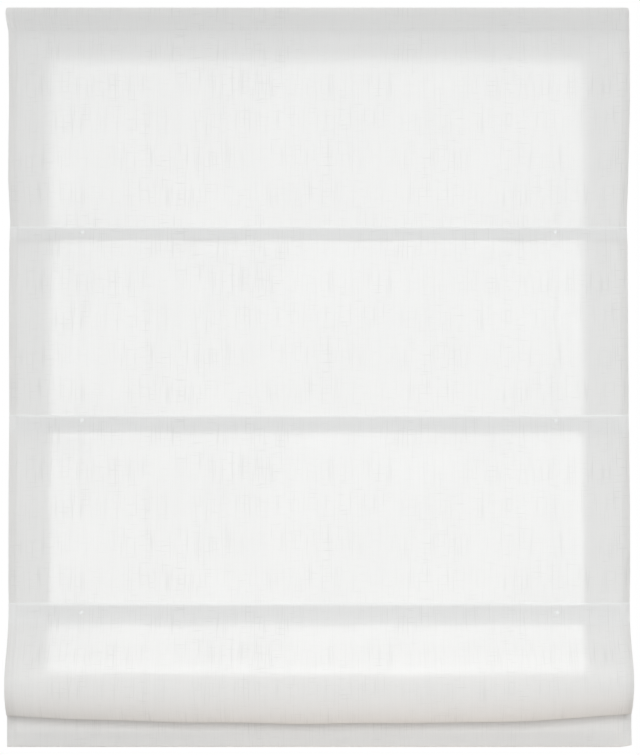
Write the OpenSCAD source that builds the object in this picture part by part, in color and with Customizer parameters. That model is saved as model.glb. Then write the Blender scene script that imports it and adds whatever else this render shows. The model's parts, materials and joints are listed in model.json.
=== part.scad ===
// Roman blind with a cordless spring lift, hung from two wall brackets.
// X runs along the rail, the wall is the plane y = 0 and the room is on the -Y side.

/* [Cloth] */
// width of the cloth
cloth_width = 1000; // [600:10:1400]
// thickness of the cloth
cloth_t = 0.8; // [0.5:0.1:1.2]
// height of the cloth's top edge above the top of the rail
top_rise = 4.5; // [4:0.5:8]
// drop from the top edge to the first batten seam
first_drop = 355; // [250:1:450]
// drop from one batten seam to the next
batten_pitch = 303; // [200:1:350]
// depth of the turned hem behind the top edge
header_hem = 34; // [20:1:40]
// how far the cloth bellies forward between two seams
belly = 4; // [0:0.5:10]
// width of the turned hem down each side
side_hem = 13; // [8:1:25]
// thickness that the side hem adds at the back
side_hem_t = 0.8; // [0.2:0.1:1]

/* [Bottom fold] */
// how far the fold stands forward of the cloth above it
fold_depth = 56; // [30:1:80]
// drop from the last seam to the front of the roll
fold_front_drop = 161; // [120:1:200]
// drop from the last seam to the underside of the roll
fold_drop = 187.6; // [150:0.1:240]
// share of the fold depth at which the underside lies
fold_under_share = 0.73; // [0.5:0.01:0.9]
// how much higher the fold hangs at the side edges than in the middle
fold_sag = 11.5; // [0:0.5:25]
// drop from the last seam to the crest over the fourth batten
crest_drop = 141; // [120:1:170]
// radius of the turn over the crest
crest_r = 4.2; // [3:0.1:6]
// drop from the last seam to the bottom edge
bottom_drop = 230; // [200:1:280]
// height of the hem round the bottom bar
bottom_hem = 28; // [24:1:40]

/* [Battens] */
// radius of a batten rod
batten_r = 2.5; // [2:0.1:4]
// radial room between a batten and its pocket
batten_play = 0.5; // [0.3:0.1:0.9]
// wall of a batten pocket
pocket_t = 1; // [0.6:0.1:1.5]
// heights of the four batten pockets, top to bottom
pocket_drop = [20, 26, 32, 26]; // [16:1:40]
// how much shorter than the cloth a pocket is
pocket_short = 30; // [28:1:60]
// length of rod that stands out of each pocket end
batten_out = 5; // [3:0.5:6]
// length of a batten tip
tip_len = 6; // [4:0.5:8]
// wall of a batten tip
tip_wall = 0.7; // [0.5:0.1:1]

/* [Bottom bar] */
// height of the bottom bar
bar_h = 20; // [16:1:26]
// thickness of the bottom bar
bar_t = 3; // [2:0.5:4]
// how much shorter than the cloth the bottom bar is
bar_short = 50; // [40:5:80]

/* [Cords] */
// distance of each lift cord from the side edge of the cloth
cord_in = 118; // [60:1:200]
// radius of a lift cord
cord_r = 0.7; // [0.5:0.1:1]
// radius of a cord ring at the middle of its wire
ring_r = 5; // [4:0.5:7]
// radius of a cord ring's wire
ring_wire_r = 1; // [0.8:0.1:1.5]
// radius of the stop at a cord's lower end
stop_r = 3; // [2.5:0.1:4]
// height of the stop at a cord's lower end
stop_h = 9; // [6:0.5:12]

/* [Rail] */
// how much shorter than the cloth the rail is without its end caps
rail_short = 10; // [6:1:30]
// depth of the rail
rail_d = 36; // [34:1:48]
// height of the rail
rail_h = 32; // [30:1:40]
// wall of the rail
rail_t = 1.5; // [1.2:0.1:2]
// width of the slot along the top of the rail
rail_slot = 10; // [8:0.5:12]
// room between the wall and the back of the rail
rail_gap = 6; // [5:0.5:10]
// thickness of an end cap's plate
cap_t = 3; // [2:0.5:5]
// depth of an end cap's plug
cap_plug = 10; // [6:1:15]
// height of the fastening tapes
tape_h = 25; // [20:1:28]
// thickness of each fastening tape
tape_t = 1.2; // [0.8:0.1:1.6]

/* [Brackets] */
// distance of each bracket from the side edge of the cloth
bracket_in = 170; // [100:5:220]
// width of a bracket
bracket_w = 40; // [30:1:60]
// thickness of a bracket
bracket_t = 1.6; // [1.2:0.1:2]
// reach of a bracket's top leg from the wall
bracket_reach = 34; // [32:1:40]
// spacing of a bracket's two screw holes
screw_pitch = 18; // [14:1:22]
// radius of a screw hole
screw_hole_r = 2.25; // [1.75:0.05:2.5]
// radius of a latch stem
latch_stem_r = 3; // [2.5:0.1:4]
// length of a latch's head
latch_head = 18; // [16:0.5:22]
// thickness of a latch's head
latch_head_t = 2; // [1.5:0.1:3]
// length of a latch lever from its stem
lever_len = 18; // [12:1:20]
// thickness of a latch lever
lever_t = 1.8; // [1.4:0.1:2.2]

/* [Lift drive] */
// width across the flats of the hexagonal drive shaft
shaft_flats = 6; // [5:0.5:8]
// how far the drive shaft runs on past each cradle
shaft_over = 16.5; // [6:0.5:40]
// radius on which the cord winds
drum_r = 8.4; // [7:0.1:9]
// radius of a spool flange
flange_r = 11.5; // [10:0.1:12]
// length of a spool between its cradle cheeks
spool_len = 36; // [30:1:44]
// thickness of a spool flange
flange_t = 1.5; // [1:0.1:2]
// radius of a spool journal
journal_r = 4.5; // [4.2:0.1:5.5]
// thickness of a cradle cheek and length of a journal
cheek_t = 3.5; // [3:0.5:5]
// radial running clearance
run_fit = 0.05; // [0.02:0.01:0.1]
// turns of cord on each spool
wraps = 4; // [3:1:8]
// length of the spring motor
motor_len = 84; // [70:2:110]
// radius of the spring motor's case
motor_r = 13.4; // [12.5:0.1:13.8]
// wall of the spring motor's case
motor_wall = 1.4; // [1:0.1:2]
// radius of the spring's coil at the middle of its wire
spring_r = 8.6; // [8:0.1:9.5]
// radius of the spring's wire
spring_wire_r = 1.1; // [0.8:0.1:1.2]
// room left free beyond the spring's last turn
spring_room = 2; // [0.5:0.1:5]
// thickness of the closed end of the motor's case
case_end = 2; // [1.5:0.1:3]
// thickness of the flange on the motor's hub
hub_flange = 3; // [2:0.1:4]
// depth of the motor cover's plug
cover_plug = 4; // [3:0.1:6]
// distance of the brake from the middle
brake_x = 120; // [80:5:200]
// length of the brake
brake_len = 26; // [18:1:36]
// radius of the brake drum
brake_r = 6.5; // [5.5:0.1:8]

/* [Part] */
// part to draw

/* [Hidden] */

eps = 0.01;
touch = 0.3;
half_w = cloth_width / 2;
rail_len = cloth_width - rail_short;
cord_x = half_w - cord_in;
bracket_x = half_w - bracket_in;
shaft_len = 2 * (cord_x + spool_len / 2 + cheek_t + shaft_over);
half_h = rail_h / 2;
rail_back = -rail_gap;
rail_front = rail_back - rail_d;
rail_mid = (rail_back + rail_front) / 2;
top_edge = half_h + top_rise;
layer = cloth_t + 0.4;
hem_y = rail_front - 2 * tape_t - 0.1 - cloth_t / 2;
face_y = hem_y - layer;
seam_z = [for (i = [0 : 2]) top_edge - first_drop - i * batten_pitch];
last_seam = seam_z[2];
crest_z = last_seam - crest_drop;
bottom_z = last_seam - bottom_drop;
pocket_len = cloth_width - pocket_short;
pocket_bore = batten_r + batten_play;
pocket_r = pocket_bore + pocket_t;
web_front = face_y + cloth_t / 2 + touch;
batten_y = web_front + pocket_r;
batten_z = [for (i = [0 : 2]) seam_z[i] - pocket_drop[i] + pocket_r];
crest_top = crest_z + touch + cloth_t / 2;
batten_4_z = crest_top + pocket_drop[3] - pocket_r;
ring_out = ring_r + ring_wire_r;
cord_y = batten_y + pocket_r + touch + ring_out;
wind_r = drum_r + cord_r + 0.1;
shaft_y = cord_y + wind_r;
skirt_y = face_y + 1 + 2 * crest_r;
bar_y = skirt_y + cloth_t / 2 + touch + bar_t / 2;
hem_back = bar_y + bar_t / 2 + touch + cloth_t / 2;
hem_r = (hem_back - skirt_y) / 2;
hem_z = bottom_z + hem_r + cloth_t / 2;
bar_z = hem_z + bar_h / 2 + touch;
bracket_top = half_h + bracket_t;
hex_r = shaft_flats / 2 / cos(30);
spring_pitch = 1.8 * spring_wire_r;
spring_first = case_end + hub_flange + 2 * touch + spring_wire_r;
spring_space = motor_len - spring_first - spring_wire_r - cover_plug - spring_room;
spring_turns = 1 + floor(spring_space / spring_pitch);
floor_z = -half_h + rail_t;

// points on a cubic curve between a and d, without its first point
function curve(a, b, c, d, n) = [for (i = [1 : n]) let (t = i / n, u = 1 - t)
  u * u * u * a + 3 * u * u * t * b + 3 * u * t * t * c + t * t * t * d];
// points on a half turn about c, starting at angle a and turning by sweep
function turn(c, r, a, sweep, n) = [for (i = [0 : n]) let (w = a + sweep * i / n)
  [c[0] + r * cos(w), c[1] + r * sin(w)]];
// one panel of cloth between two heights, bellied forward
function panel(top, low, n) = [for (i = [0 : n]) let (u = i / n)
  [face_y - belly * pow(sin(180 * u), 0.7), top + (low - top) * u]];

fold_front = [face_y - fold_depth, last_seam - fold_front_drop];
fold_under = [face_y - fold_depth * fold_under_share, last_seam - fold_drop];
fold_start = [face_y, last_seam - 2];
under_h = fold_drop - fold_front_drop;
under_d = fold_under[0] - fold_front[0];
back_d = face_y - fold_under[0];
back_h = fold_drop - crest_drop;
crest_front = [skirt_y - 2 * crest_r, crest_z - crest_r];
crest_mid = [skirt_y - crest_r, crest_z - crest_r];
header_part = concat(
  [[hem_y, top_edge - header_hem], [hem_y, 0]],
  turn([hem_y - layer / 2, top_edge - cloth_t / 2 - layer / 2], layer / 2, 0, 180, 5),
  [[face_y, half_h / 2]]);
panels_part = concat(
  panel(-half_h, seam_z[0] + 1, 12),
  panel(seam_z[0] - 1, seam_z[1] + 1, 12),
  panel(seam_z[1] - 1, seam_z[2] + 1, 12));
fold_part = concat(
  [fold_start],
  curve(fold_start, fold_start - [0, 0.435 * fold_front_drop],
    fold_front + [0, 0.373 * fold_front_drop], fold_front, 14),
  curve(fold_front, fold_front - [0, 0.564 * under_h], fold_under - [0.595 * under_d, 0], fold_under, 5),
  curve(fold_under, fold_under + [0.367 * back_d, 0], crest_front - [0, 0.558 * back_h], crest_front, 8));
skirt_part = concat(
  turn(crest_mid, crest_r, 165, -165, 6),
  [for (i = [1 : 5]) [skirt_y, crest_front[1] + (hem_z + 2 - crest_front[1]) * i / 5]]);
hem_part = concat(
  turn([skirt_y + hem_r, hem_z], hem_r, 180, 180, 6),
  [[hem_back, bottom_z + bottom_hem]]);
path = concat(header_part, panels_part, fold_part, skirt_part, hem_part);
n_path = len(path);
panel_from = len(header_part);
fold_from = panel_from + len(panels_part);
skirt_from = fold_from + len(fold_part);
hem_from = skirt_from + len(skirt_part);

// share of the fold's sag that a point of the path takes
function sag_share(k) = k < fold_from || k >= skirt_from ? 0 :
  pow(sin(180 * pow((k - fold_from) / len(fold_part), 1.6)), 2);
// where the side hem thickens the cloth
function hem_share(k) = k >= panel_from && k < hem_from - 1 ? 1 : 0;
// direction across the cloth, from its face to its back
function across(k) = let (a = path[max(k - 1, 0)], b = path[min(k + 1, n_path - 1)],
  d = b - a) [-d[1], d[0]] / norm(d);
// one face of the cloth at station x, side 0 for the face and 1 for the back
function cloth_point(k, x, side) = let (
  lift = fold_sag * pow(abs(x) / half_w, 2.2) * sag_share(k),
  hem = abs(x) > half_w - side_hem ? side_hem_t * hem_share(k) : 0,
  out = side == 0 ? -cloth_t / 2 : cloth_t / 2 + hem,
  p = path[k] + across(k) * out) [x, p[0], p[1] + lift];

half_stations = concat([for (i = [0 : 9]) (half_w - side_hem) * i / 9],
  [half_w - side_hem + 0.5, half_w]);
stations = concat([for (i = [len(half_stations) - 1 : -1 : 1]) -half_stations[i]], half_stations);
loop_n = 2 * n_path;
cloth_points = [for (x = stations) each concat(
  [for (k = [0 : n_path - 1]) cloth_point(k, x, 0)],
  [for (k = [n_path - 1 : -1 : 0]) cloth_point(k, x, 1)])];
cloth_sides = [for (i = [0 : len(stations) - 2]) for (r = [0 : loop_n - 1])
  let (s = (r + 1) % loop_n, a = i * loop_n, b = a + loop_n)
  each [[a + r, b + r, b + s], [a + r, b + s, a + s]]];
cloth_ends = [for (e = [0, 1]) for (k = [0 : n_path - 2])
  let (a = e * (len(stations) - 1) * loop_n, p = a + k, q = a + k + 1,
    r = a + loop_n - 2 - k, s = a + loop_n - 1 - k)
  each e == 0 ? [[p, q, r], [p, r, s]] : [[p, r, q], [p, s, r]]];

// a cylinder along X, centred on x
module along_x(r, len, x, y, z, n = 48) {
  translate([x - len / 2, y, z])
    rotate([0, 90, 0])
      cylinder(r = r, h = len, $fn = n);
}

// a box from its six faces
module box(x0, x1, y0, y1, z0, z1) {
  translate([x0, y0, z0])
    cube([x1 - x0, y1 - y0, z1 - z0]);
}

// a hexagonal bar along X
module hex_bar(r, len, x) {
  translate([x - len / 2, shaft_y, 0])
    rotate([0, 90, 0])
      cylinder(r = r, h = len, $fn = 6);
}

module headrail() {
  half = rail_len / 2;
  color("silver")
    difference() {
      box(-half, half, rail_front, rail_back, -half_h, half_h);
      box(-half - 1, half + 1, rail_front + rail_t, rail_back - rail_t, floor_z, half_h - rail_t);
      box(-half - 1, half + 1, rail_mid - rail_slot / 2, rail_mid + rail_slot / 2, 0, half_h + 1);
      for (side = [-1, 1])
        translate([side * cord_x, cord_y, -half_h - 1])
          cylinder(r = 3, h = rail_t + 2, $fn = 32);
    }
}

module end_cap(side) {
  half = rail_len / 2;
  fit = rail_t + 0.15;
  lip = fit + 1.6;
  color("white")
    scale([side, 1, 1]) {
      translate([half, rail_mid, 0])
        rotate([90, 0, 90])
          linear_extrude(cap_t)
            rounded(rail_d, rail_h, 2.5);
      difference() {
        box(half - cap_plug, half + eps, rail_front + fit, rail_back - fit, -half_h + fit, half_h - fit);
        box(half - cap_plug - 1, half - 1, rail_front + lip, rail_back - lip, -half_h + lip, half_h - lip);
      }
    }
}

// a rectangle with round corners
module rounded(w, h, r) {
  square([w - 2 * r, h], center = true);
  square([w, h - 2 * r], center = true);
  for (a = [-1, 1])
    for (b = [-1, 1])
      translate([a * (w / 2 - r), b * (h / 2 - r)])
        circle(r = r, $fn = 24);
}

module end_cap_left() {
  end_cap(-1);
}

module end_cap_right() {
  end_cap(1);
}

module bracket(side) {
  x = side * bracket_x;
  color("gainsboro")
    difference() {
      union() {
        box(x - bracket_w / 2, x + bracket_w / 2, -bracket_t, 0, -half_h, bracket_top);
        box(x - bracket_w / 2, x + bracket_w / 2, -bracket_reach, 0, half_h, bracket_top);
        for (edge = [-1, 1])
          box(x + edge * (bracket_w / 2 - 1) - 1, x + edge * (bracket_w / 2 - 1) + 1,
            -rail_gap + touch, 0, half_h - 10, bracket_top);
      }
      for (row = [-1, 1])
        translate([x, 1, row * screw_pitch / 2])
          rotate([90, 0, 0])
            cylinder(r = screw_hole_r, h = bracket_t + 2, $fn = 32);
      translate([x, rail_mid, half_h - 1])
        cylinder(r = latch_stem_r + run_fit, h = bracket_t + 2, $fn = 32);
    }
}

module bracket_left() {
  bracket(-1);
}

module bracket_right() {
  bracket(1);
}

module latch_cam(side) {
  head_top = half_h - rail_t - touch;
  r = rail_slot / 2 - 0.6;
  color("white")
    translate([side * bracket_x, rail_mid, 0]) {
      translate([0, 0, head_top - latch_head_t])
        cylinder(r = latch_stem_r, h = bracket_top + lever_t + touch - head_top + latch_head_t, $fn = 32);
      translate([0, 0, head_top - latch_head_t])
        intersection() {
          cylinder(r = latch_head / 2, h = latch_head_t, $fn = 48);
          translate([-r, -latch_head, 0])
            cube([2 * r, 2 * latch_head, latch_head_t]);
        }
    }
}

module latch_cam_left() {
  latch_cam(-1);
}

module latch_cam_right() {
  latch_cam(1);
}

module latch_lever(side) {
  color("white")
    translate([side * bracket_x, rail_mid, bracket_top + touch])
      difference() {
        union() {
          cylinder(r = latch_stem_r + 2.5, h = lever_t, $fn = 40);
          translate([-3, 0, 0])
            cube([6, lever_len, lever_t]);
          translate([0, lever_len, 0])
            cylinder(r = 3, h = lever_t, $fn = 32);
        }
        translate([0, 0, -1])
          cylinder(r = latch_stem_r + run_fit, h = lever_t + 2, $fn = 32);
      }
}

module latch_lever_left() {
  latch_lever(-1);
}

module latch_lever_right() {
  latch_lever(1);
}

module hook_tape() {
  color("whitesmoke")
    box(-pocket_len / 2, pocket_len / 2, rail_front - tape_t, rail_front, -tape_h / 2, tape_h / 2);
}

module loop_tape() {
  color("ivory")
    box(-pocket_len / 2, pocket_len / 2, rail_front - 2 * tape_t, rail_front - tape_t,
      -tape_h / 2, tape_h / 2);
}

// a flanged eyelet in the floor of the rail for each cord
module cord_eyelets() {
  color("white")
    for (side = [-1, 1])
      translate([side * cord_x, cord_y, 0])
        rotate_extrude($fn = 40)
          polygon([[1.6, -half_h - 1.2], [4.4, -half_h - 1.2], [4.4, -half_h], [2.9, -half_h],
            [2.9, floor_z + 0.6], [1.6, floor_z + 0.6]]);
}

module drive_shaft() {
  color("lightgray")
    hex_bar(hex_r, shaft_len, 0);
}

module cord_spool(side) {
  x = side * cord_x;
  half = spool_len / 2 - touch;
  color("white")
    difference() {
      translate([x, shaft_y, 0])
        rotate([0, 90, 0])
          rotate_extrude($fn = 64)
            polygon([[0, -half - cheek_t], [journal_r, -half - cheek_t], [journal_r, -half],
              [flange_r, -half], [flange_r, -half + flange_t], [drum_r, -half + flange_t + 2],
              [drum_r, half - flange_t - 2], [flange_r, half - flange_t], [flange_r, half],
              [journal_r, half], [journal_r, half + cheek_t], [0, half + cheek_t]]);
      hex_bar(hex_r + run_fit, spool_len + 4 * cheek_t, x);
    }
}

module cord_spool_left() {
  cord_spool(-1);
}

module cord_spool_right() {
  cord_spool(1);
}

module spool_cradle(side) {
  x = side * cord_x;
  half = spool_len / 2;
  fit = rail_t + touch;
  color("gainsboro")
    difference() {
      union() {
        box(x - half - cheek_t, x + half + cheek_t, rail_front + fit, rail_back - fit, floor_z, floor_z + 1.6);
        for (end = [-1, 1])
          box(x + end * (half + cheek_t / 2) - cheek_t / 2, x + end * (half + cheek_t / 2) + cheek_t / 2,
            rail_front + fit, rail_back - fit, floor_z, journal_r + 3);
      }
      along_x(journal_r + run_fit, spool_len + 4 * cheek_t, x, shaft_y, 0);
      box(x - spool_len, x + spool_len, shaft_y - journal_r - run_fit, shaft_y + journal_r + run_fit,
        0, rail_h);
      translate([x, cord_y, -rail_h])
        cylinder(r = 3.6, h = rail_h, $fn = 32);
    }
}

module spool_cradle_left() {
  spool_cradle(-1);
}

module spool_cradle_right() {
  spool_cradle(1);
}

module motor_case() {
  half = motor_len / 2;
  color("lightgray")
    difference() {
      union() {
        along_x(motor_r, motor_len, 0, shaft_y, 0, 72);
        box(-half, half, shaft_y - 8, shaft_y + 8, floor_z, 0);
      }
      along_x(motor_r - motor_wall, motor_len, case_end, shaft_y, 0, 72);
      along_x(hex_r + 0.6, motor_len * 2, 0, shaft_y, 0, 32);
    }
}

module motor_cover() {
  half = motor_len / 2;
  color("white")
    difference() {
      union() {
        along_x(motor_r - motor_wall - 0.1, cover_plug, half - cover_plug / 2, shaft_y, 0, 72);
        along_x(motor_r, 1.6, half + 0.8, shaft_y, 0, 72);
      }
      along_x(hex_r + 0.6, motor_len, half, shaft_y, 0, 32);
    }
}

module motor_hub() {
  half = motor_len / 2;
  core = spring_r - spring_wire_r - 0.4;
  color("white")
    difference() {
      union() {
        along_x(core, motor_len - case_end - cover_plug - 2 * touch, (case_end - cover_plug) / 2,
          shaft_y, 0, 56);
        along_x(motor_r - motor_wall - 0.5, hub_flange, -half + case_end + touch + hub_flange / 2,
          shaft_y, 0, 72);
      }
      hex_bar(hex_r + run_fit, motor_len * 2, 0);
    }
}

// the coil of the torsion spring, its turns lying side by side
module motor_spring() {
  color("dimgray")
    translate([0, shaft_y, 0])
      rotate([0, 90, 0])
        rotate_extrude($fn = 64)
          for (i = [0 : spring_turns - 1])
            translate([spring_r, spring_first - motor_len / 2 + i * spring_pitch])
              circle(r = spring_wire_r, $fn = 16);
}

module brake_housing() {
  half = brake_len / 2;
  color("gainsboro")
    difference() {
      box(brake_x - half, brake_x + half, shaft_y - 11, shaft_y + 11, floor_z, 11);
      along_x(brake_r + run_fit, brake_len * 2, brake_x, shaft_y, 0);
      box(brake_x - half - 1, brake_x + half + 1, shaft_y - 0.6, shaft_y + 0.6, 0, 12);
    }
}

module brake_drum() {
  color("white")
    difference() {
      union() {
        along_x(brake_r, brake_len, brake_x, shaft_y, 0);
        for (end = [-1, 1])
          along_x(brake_r + 2, 1.5, brake_x + end * (brake_len / 2 + 0.75 + touch), shaft_y, 0);
        along_x(brake_r - 1, brake_len + 2, brake_x, shaft_y, 0);
      }
      hex_bar(hex_r + run_fit, brake_len * 2, brake_x);
    }
}

// snap rings that keep the shaft between the two cradles
module shaft_clips() {
  color("dimgray")
    for (side = [-1, 1])
      difference() {
        along_x(hex_r + 2, 1.5, side * (cord_x + spool_len / 2 + cheek_t + 1.25), shaft_y, 0);
        hex_bar(hex_r + run_fit, spool_len, side * (cord_x + spool_len / 2 + cheek_t));
      }
}

module blind_fabric() {
  color("white")
    polyhedron(points = cloth_points, faces = concat(cloth_sides, cloth_ends), convexity = 20);
}

module batten(z) {
  color("lightyellow")
    along_x(batten_r, pocket_len + 2 * batten_out, 0, batten_y, z);
}

module batten_1() {
  batten(batten_z[0]);
}

module batten_2() {
  batten(batten_z[1]);
}

module batten_3() {
  batten(batten_z[2]);
}

module batten_4() {
  batten(batten_4_z);
}

// a closed cap pushed over each end of a batten
module batten_tips(z) {
  end_x = pocket_len / 2 + batten_out;
  color("white")
    for (side = [-1, 1])
      translate([side * (end_x + 1), batten_y, z])
        rotate([0, -side * 90, 0])
          rotate_extrude($fn = 40)
            polygon([[0, 0], [batten_r + tip_wall, 0], [batten_r + tip_wall, tip_len - 1],
              [batten_r + run_fit, tip_len - 1], [batten_r + run_fit, 1], [0, 1]]);
}

module batten_tips_1() {
  batten_tips(batten_z[0]);
}

module batten_tips_2() {
  batten_tips(batten_z[1]);
}

module batten_tips_3() {
  batten_tips(batten_z[2]);
}

module batten_tips_4() {
  batten_tips(batten_4_z);
}

// a sleeve round the batten with a doubled web that is sewn to the cloth at height edge
module batten_pocket(z, edge, web_y) {
  half = pocket_len / 2;
  color("white")
    difference() {
      union() {
        along_x(pocket_r, pocket_len, 0, batten_y, z, 64);
        box(-half, half, web_y - pocket_t, web_y + pocket_t, min(z, edge), max(z, edge));
      }
      along_x(pocket_bore, pocket_len + 2, 0, batten_y, z, 64);
    }
}

module batten_pocket_1() {
  batten_pocket(batten_z[0], seam_z[0], web_front + pocket_t);
}

module batten_pocket_2() {
  batten_pocket(batten_z[1], seam_z[1], web_front + pocket_t);
}

module batten_pocket_3() {
  batten_pocket(batten_z[2], seam_z[2], web_front + pocket_t);
}

// the fourth pocket stands up from the crest, because its cords pull it upwards
module batten_pocket_4() {
  batten_pocket(batten_4_z, crest_top, crest_mid[0]);
}

module cord_rings(z) {
  color("white")
    for (side = [-1, 1])
      translate([side * cord_x, cord_y, z])
        rotate_extrude($fn = 48)
          translate([ring_r, 0])
            circle(r = ring_wire_r, $fn = 24);
}

module cord_rings_1() {
  cord_rings(batten_z[0]);
}

module cord_rings_2() {
  cord_rings(batten_z[1]);
}

module cord_rings_3() {
  cord_rings(batten_z[2]);
}

module cord_rings_4() {
  cord_rings(batten_4_z);
}

// a cord with its turns on the spool and its straight run down to the stop
module lift_cord(side) {
  low = batten_4_z - ring_wire_r - touch - 2;
  color("white")
    translate([side * cord_x, 0, 0]) {
      translate([0, shaft_y, 0])
        rotate([0, 90, 0])
          rotate_extrude($fn = 64)
            for (i = [0 : wraps - 1])
              translate([wind_r, side * i * cord_r * 1.8])
                circle(r = cord_r - 0.02, $fn = 16);
      translate([0, cord_y, low])
        cylinder(r = cord_r, h = 0.5 - low, $fn = 16);
    }
}

module lift_cord_left() {
  lift_cord(-1);
}

module lift_cord_right() {
  lift_cord(1);
}

module cord_stops() {
  top = batten_4_z - ring_wire_r - touch;
  color("white")
    for (side = [-1, 1])
      translate([side * cord_x, cord_y, top - stop_h])
        difference() {
          union() {
            cylinder(r = stop_r, h = stop_h - 1.5, $fn = 32);
            cylinder(r = stop_r + 1.2, h = 1.5, $fn = 32);
            translate([0, 0, stop_h - 1.5])
              cylinder(r1 = stop_r, r2 = stop_r - 1, h = 1.5, $fn = 32);
          }
          translate([0, 0, stop_h - 3.5])
            cylinder(r = cord_r + 0.1, h = 5, $fn = 16);
        }
}

module bottom_bar() {
  half = (cloth_width - bar_short) / 2;
  color("silver")
    box(-half, half, bar_y - bar_t / 2, bar_y + bar_t / 2, bar_z - bar_h / 2, bar_z + bar_h / 2);
}

// a moulded end on the bottom bar at each side
module bottom_bar_caps() {
  half = (cloth_width - bar_short) / 2;
  color("white")
    for (side = [-1, 1])
      translate([side * (half + 2), bar_y, bar_z])
        rotate([90, 0, 0])
          linear_extrude(bar_t, center = true)
            rounded(4, bar_h, 1.5);
}

headrail();
end_cap_left();
end_cap_right();
bracket_left();
bracket_right();
latch_cam_left();
latch_cam_right();
latch_lever_left();
latch_lever_right();
hook_tape();
loop_tape();
cord_eyelets();
drive_shaft();
cord_spool_left();
cord_spool_right();
spool_cradle_left();
spool_cradle_right();
motor_case();
motor_cover();
motor_hub();
motor_spring();
brake_housing();
brake_drum();
shaft_clips();
blind_fabric();
batten_1();
batten_2();
batten_3();
batten_4();
batten_tips_1();
batten_tips_2();
batten_tips_3();
batten_tips_4();
batten_pocket_1();
batten_pocket_2();
batten_pocket_3();
batten_pocket_4();
cord_rings_1();
cord_rings_2();
cord_rings_3();
cord_rings_4();
lift_cord_left();
lift_cord_right();
cord_stops();
bottom_bar();
bottom_bar_caps();
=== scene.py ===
"""Looks of a roman blind: cloth, batten pockets, tapes, lift cords and finishes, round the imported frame."""

import json
import math

import bpy
import numpy as np
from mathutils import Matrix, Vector


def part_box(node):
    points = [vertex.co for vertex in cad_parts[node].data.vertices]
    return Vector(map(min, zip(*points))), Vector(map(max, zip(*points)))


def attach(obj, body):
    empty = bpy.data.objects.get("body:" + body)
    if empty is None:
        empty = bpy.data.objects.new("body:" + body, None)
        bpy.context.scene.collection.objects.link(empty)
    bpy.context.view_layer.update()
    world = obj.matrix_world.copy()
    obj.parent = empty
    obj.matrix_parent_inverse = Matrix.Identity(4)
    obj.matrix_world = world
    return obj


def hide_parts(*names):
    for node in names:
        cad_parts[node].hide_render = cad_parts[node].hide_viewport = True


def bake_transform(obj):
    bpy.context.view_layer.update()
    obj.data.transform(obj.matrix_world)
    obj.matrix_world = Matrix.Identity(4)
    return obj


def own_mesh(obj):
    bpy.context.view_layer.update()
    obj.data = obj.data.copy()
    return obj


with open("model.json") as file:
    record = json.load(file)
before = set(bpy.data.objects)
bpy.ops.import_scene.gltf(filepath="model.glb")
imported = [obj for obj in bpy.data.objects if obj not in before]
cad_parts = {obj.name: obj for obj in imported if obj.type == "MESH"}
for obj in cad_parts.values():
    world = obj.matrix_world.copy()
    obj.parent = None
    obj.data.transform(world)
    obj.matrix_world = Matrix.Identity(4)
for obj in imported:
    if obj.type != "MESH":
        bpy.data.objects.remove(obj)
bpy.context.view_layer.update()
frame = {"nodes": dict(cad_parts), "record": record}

# Everything is in metres: x along the rail, y towards the wall, z up.
MM = 0.001

# The photograph, 640 x 755, and the camera that took it.
PHOTO_H = 755
MM_PER_PIXEL = 1.608
SENSOR_MM = 36
CAMERA_AWAY = 3.6
CAMERA_X = 0.0021
CAMERA_Z = -0.5745

# The cloth: its thickness, hems, planes and lengths.
CLOTH_T = 0.8 * MM
SIDE_HEM = 13 * MM
SIDE_HEM_T = 0.7 * MM
LAYER_GAP = 0.05 * MM
HEM_STITCH = 10.5 * MM
HEADER_HEM = 34 * MM
HEADER_STITCHES = (10 * MM, -10 * MM)
BOTTOM_HEM = 28 * MM
FACE_Y = -46.1 * MM
HEM_Y = -44.9 * MM
HEM_BACK = -32.3 * MM
RAIL_GAP = 0.5 * MM
# Points along the header's turned hem, its turn and its face, and how far below the turn's centre they meet.
HEADER_ROWS = (8, 8, 12)
HEADER_TURN_GAP = 1 * MM

# Flat panels: the belly, and the ledge where a panel hangs from a seam.
BELLY = 4 * MM
LEDGE = 0.7 * MM
LEDGE_STEP = 2 * MM
PANEL_LEDGE_END = 90 * MM
FOLD_LEDGE_END = 0.1
TOP_EASE = 30 * MM
PANEL_EASE = 45 * MM
FOLD_EASE = 40 * MM
SKIRT_FREE = 0.35
ROW_STEP = 5 * MM
COLUMN_STEP = 5 * MM

# Seams: how far each lies above its pocket, its ridge, its stitches and the tacks under it.
SEAM_RISE = (1.6 * MM, 2.2 * MM, 2.9 * MM)
RIDGE_R = 0.6 * MM
RIDGE_LIFT = 0.1 * MM
RIDGE_SIDES = 8
STITCH_DROP = 3 * MM
TACK_DROP = (8 * MM, 9.5 * MM, 14 * MM)
TACK_REACH = np.array([2.0, 3.1, 3.8, 4.2, 4.2, 3.9, 3.0, 1.9]) * MM
TACK_PITCH = 0.64 * MM
TACK_ARCH = 0.7 * MM
TACK_SLANT = 0.12
TACK_R = 0.45 * MM
TACK_POINTS, TACK_SIDES = 7, 6

# The fold's section as (y, z): its foremost point, its lower bend, and the crest over the fourth batten.
FOLD_FRONT = np.array([-101.6, -1074.0]) * MM
FOLD_UNDER = np.array([-77.8, -1124.6]) * MM
FOLD_SLANT = np.array([0.766, -0.643])
CREST = np.array([-40.9, -1085.7]) * MM
CREST_R = 4.2 * MM
# How far the handles of its curves reach, as shares of the curve's height, and as a length past the bend.
FACE_HANDLES = (0.435, 0.373)
UNDER_HANDLE = 0.386
BEND_HANDLE = 10 * MM
RISE_HANDLE = 0.558
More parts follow.
